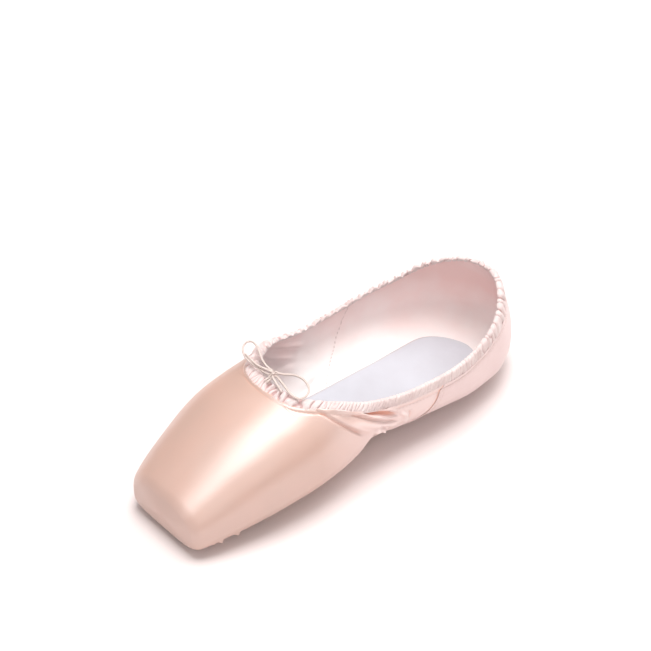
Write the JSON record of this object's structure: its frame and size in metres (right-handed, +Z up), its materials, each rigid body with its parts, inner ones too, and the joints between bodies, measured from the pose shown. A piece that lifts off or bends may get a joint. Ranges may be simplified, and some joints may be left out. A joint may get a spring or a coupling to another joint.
{
  "type": "pointe shoe",
  "caption": "Peach-pink satin ballet pointe shoe with a stiff box and flat platform, gathered drawstring collar tied in a small bow, grey sock and thin leather outsole.",
  "frame": {"origin": "middle of the shoe's box at the height of the floor, measured without the bow", "axes": "+Z up, +Y from the toe to the heel, x = 0 the middle of the straight last"},
  "size_m": [0.0824, 0.2348, 0.0655],
  "materials": {
    "satin": "peach satin with a soft broad sheen, weave running along the shoe",
    "ribbon": "gathered pale pink ribbon, half matt",
    "leather": "pale suede split leather, buffed",
    "sock": "grey-white brushed cotton sock",
    "drawstring": "cream round braided elastic"
  },
  "bodies": {
    "root": {"upper": "satin", "outsole": "leather", "insole": "sock", "binding": "ribbon", "drawstring_knot": "drawstring", "drawstring_stem_left": "drawstring", "drawstring_stem_right": "drawstring", "drawstring_loop_left": "drawstring", "drawstring_loop_right": "drawstring", "drawstring_end_left": "drawstring", "drawstring_end_right": "drawstring"}
  },
  "joints": []
}
